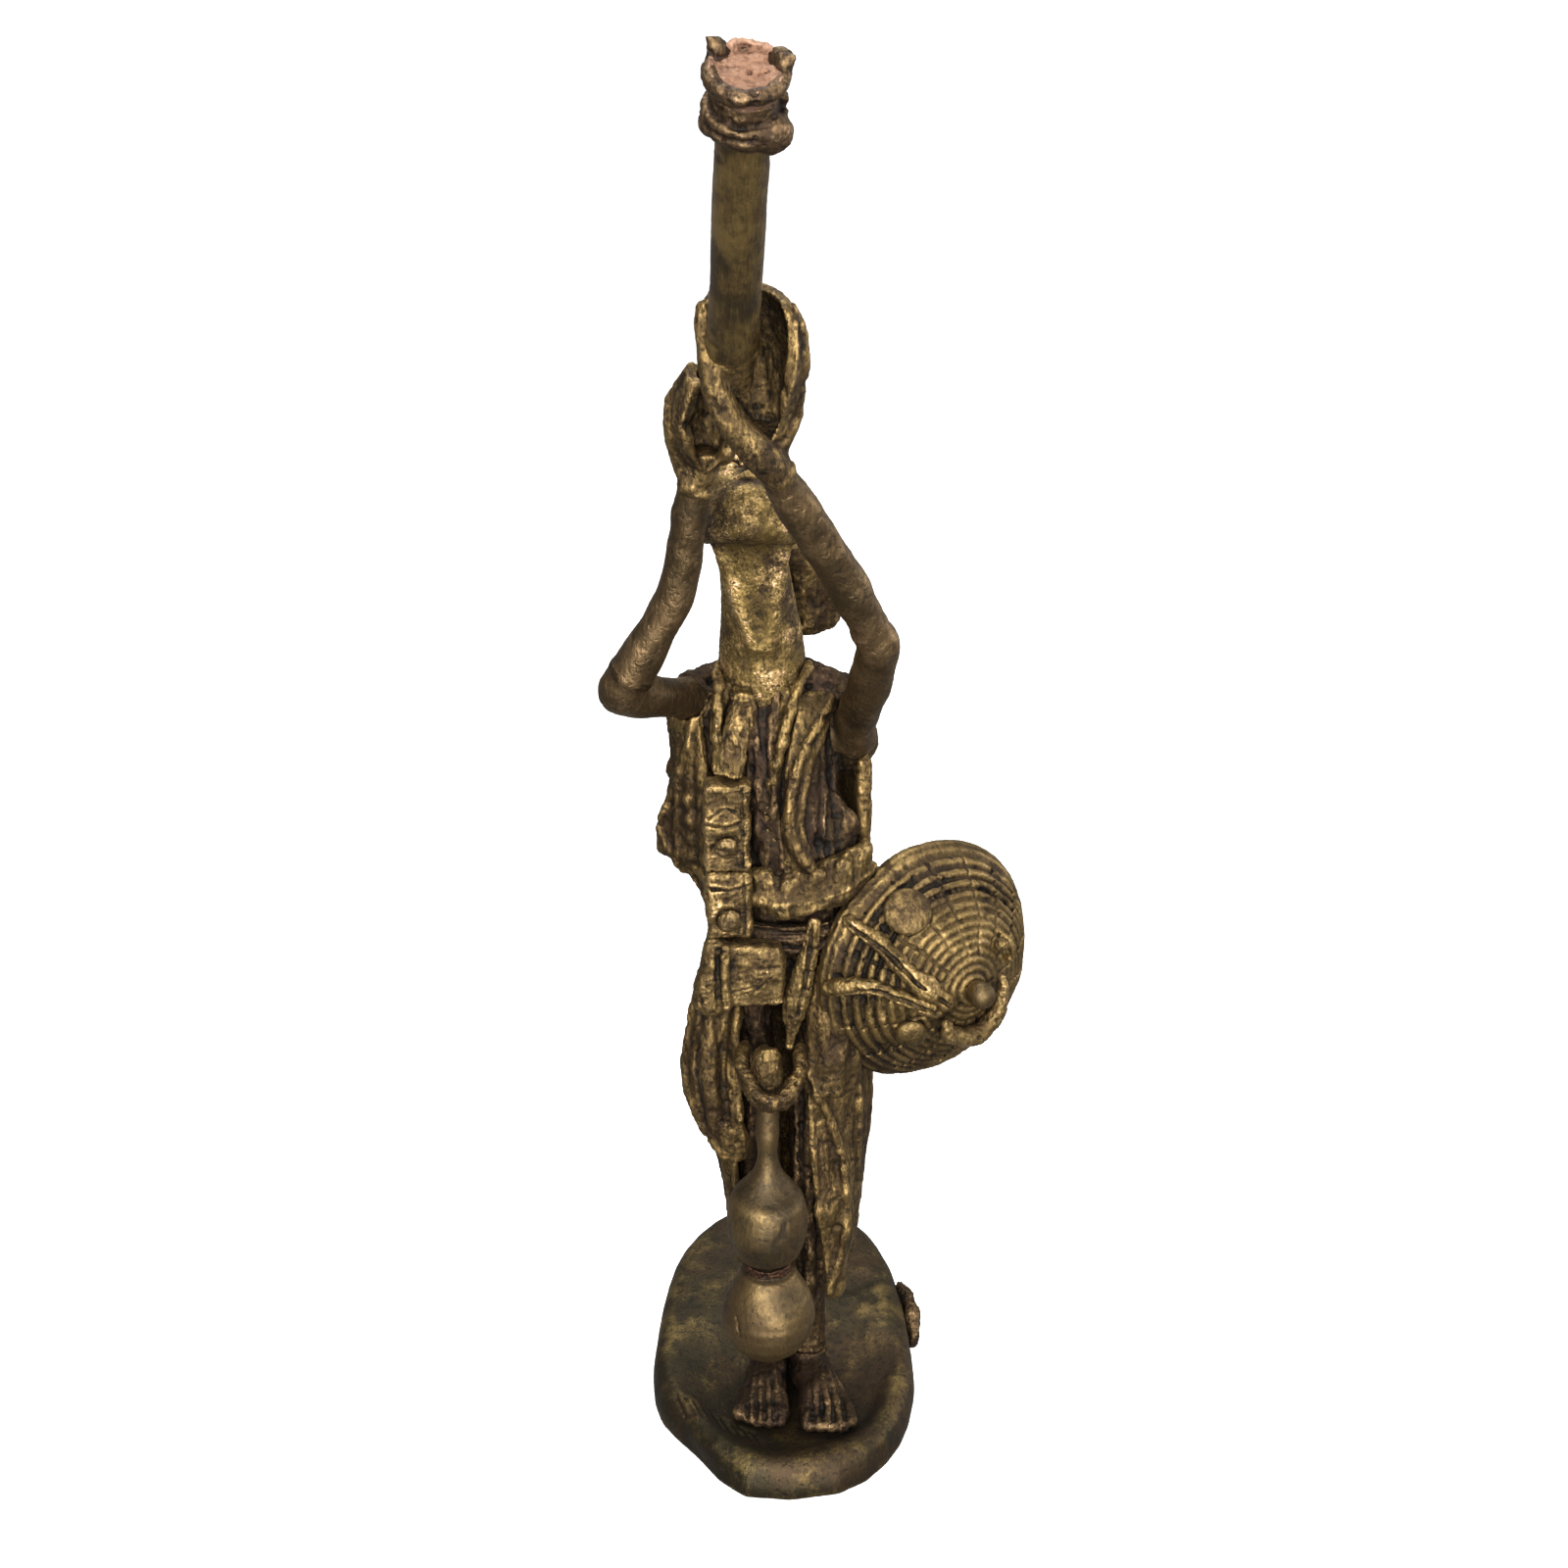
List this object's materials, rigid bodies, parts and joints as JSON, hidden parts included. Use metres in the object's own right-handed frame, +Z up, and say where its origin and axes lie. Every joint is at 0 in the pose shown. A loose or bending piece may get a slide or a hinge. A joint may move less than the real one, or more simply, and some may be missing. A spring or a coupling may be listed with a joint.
{
  "type": "figure trophy",
  "caption": "Standing robed figure in cast bronze blowing a long raised horn, with a coiled hat at its hip, a gourd flask, pouches and a domed oval base.",
  "frame": {"origin": "on the flat underside of the base, at the middle of its width and depth", "axes": "+Z up along the figure; +X to the figure's left; the figure faces -Y and its horn rises towards -Y"},
  "size_m": [0.127, 0.2155, 0.4306],
  "materials": {
    "aged_bronze": "aged cast bronze, black-brown in the folds and rubbed to ochre on the edges",
    "dark_bronze": "dark patinated cast bronze",
    "worn_bronze": "rubbed cast bronze with a golden sheen",
    "skin_bronze": "brown cast bronze, rubbed pinkish on the high places",
    "base_bronze": "smooth olive-brown patinated bronze with golden streaks",
    "gourd_bronze": "smooth glossy brown patinated bronze",
    "horn_bronze": "smooth drawn bar, olive-brown patina",
    "hat_bronze": "coiled texture in aged cast bronze, dark between the coils",
    "raw_copper": "bare broken copper alloy inside a dark patinated rim"
  },
  "bodies": {
    "root": {"base": "base_bronze", "base_lug": "base_bronze", "right_foot": "skin_bronze", "left_foot": "skin_bronze", "right_leg": "dark_bronze", "left_leg": "dark_bronze", "torso": "dark_bronze", "robe_skirt": "aged_bronze", "robe_right_flap": "aged_bronze", "robe_left_flap": "aged_bronze", "robe_back": "aged_bronze", "robe_right_front": "aged_bronze", "robe_left_front": "aged_bronze", "tunic_hem": "worn_bronze", "right_lapel": "worn_bronze", "left_lapel": "worn_bronze", "neckline_band": "worn_bronze", "waist_sash": "dark_bronze", "sash_tail": "worn_bronze", "head": "skin_bronze", "cap": "aged_bronze", "cap_tail": "aged_bronze", "right_upper_arm": "skin_bronze", "right_forearm": "skin_bronze", "right_hand": "skin_bronze", "left_upper_arm": "skin_bronze", "left_forearm": "skin_bronze", "left_hand": "skin_bronze", "horn_tube": "horn_bronze", "horn_collar": "horn_bronze", "horn_stub": "raw_copper", "hat_shell": "hat_bronze", "hat_knob": "hat_bronze", "hat_crest": "hat_bronze", "hat_loop": "hat_bronze", "hat_upper_strap": "hat_bronze", "hat_lower_strap": "hat_bronze", "hat_upper_roundel": "hat_bronze", "hat_lower_roundel": "hat_bronze", "gourd": "gourd_bronze", "gourd_waist_cord": "gourd_bronze", "gourd_thong": "gourd_bronze", "gourd_stopper": "gourd_bronze", "pouch_strap": "worn_bronze", "upper_pouch": "worn_bronze", "upper_pouch_stud": "worn_bronze", "lower_pouch": "worn_bronze", "lower_pouch_stud": "worn_bronze", "waist_bag": "worn_bronze"}
  },
  "joints": []
}
